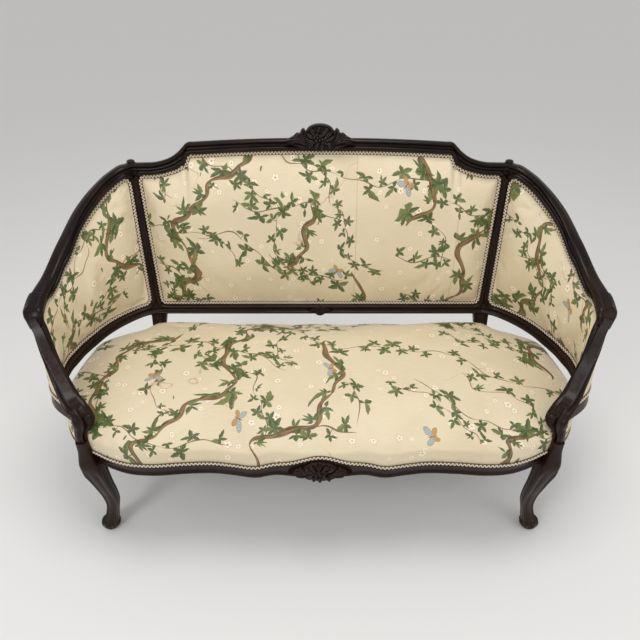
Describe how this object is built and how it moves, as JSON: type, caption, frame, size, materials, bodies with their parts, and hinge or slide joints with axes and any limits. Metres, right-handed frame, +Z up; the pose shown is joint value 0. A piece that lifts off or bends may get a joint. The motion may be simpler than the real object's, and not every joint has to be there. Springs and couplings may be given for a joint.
{
  "type": "cabriole sofa",
  "caption": "Carved show-wood settee with a serpentine seat on cabriole legs, an upholstered back and curved wings edged with braid.",
  "frame": {"origin": "middle of the bounding box in plan, at floor level", "axes": "+X along the seat to the sitter's left, +Y from the front to the back, +Z up; it faces -Y"},
  "size_m": [1.4952, 0.692, 0.994],
  "materials": {
    "walnut": "dark stained and waxed, satin",
    "beech": "bare, planed",
    "printed_cotton": "glazed cotton with a printed branch pattern",
    "gimp": "woven two-colour braid",
    "hessian": "coarse open weave",
    "horsehair": "loose stuffing",
    "dust_cambric": "plain close weave",
    "spring_steel": "plain drawn wire"
  },
  "bodies": {
    "root": {"rear_post_right": "walnut", "rear_post_left": "walnut", "front_leg_right": "walnut", "front_leg_left": "walnut", "front_seat_rail": "walnut", "side_seat_rail_right": "walnut", "side_seat_rail_left": "walnut", "rear_seat_rail": "beech", "front_corner_block_right": "beech", "front_corner_block_left": "beech", "rear_corner_block_right": "beech", "rear_corner_block_left": "beech", "crest_rail": "walnut", "lower_back_rail": "walnut", "wing_top_rail_right": "walnut", "wing_top_rail_left": "walnut", "wing_lower_rail_right": "walnut", "wing_lower_rail_left": "walnut", "arm_post_right": "walnut", "arm_post_left": "walnut", "crest_carving": "walnut", "front_rail_carving": "walnut", "dust_cover": "dust_cambric", "seat_webbing": "hessian", "spring_row_1": "spring_steel", "spring_row_2": "spring_steel", "spring_row_3": "spring_steel", "seat_hessian": "hessian", "seat_stuffing": "horsehair", "seat_cover": "printed_cotton", "seat_gimp_front": "gimp", "seat_gimp_side_right": "gimp", "seat_gimp_side_left": "gimp", "back_outside_gimp": "gimp", "wing_outside_gimp_right": "gimp", "wing_outside_gimp_left": "gimp", "back_outside_cover": "printed_cotton", "wing_outside_cover_right": "printed_cotton", "wing_outside_cover_left": "printed_cotton", "back_hessian": "hessian", "wing_hessian_right": "hessian", "wing_hessian_left": "hessian", "back_pad": "horsehair", "wing_pad_right": "horsehair", "wing_pad_left": "horsehair", "back_inside_cover": "printed_cotton", "wing_inside_cover_right": "printed_cotton", "wing_inside_cover_left": "printed_cotton", "back_inside_gimp": "gimp", "wing_inside_gimp_right": "gimp", "wing_inside_gimp_left": "gimp"}
  },
  "joints": []
}
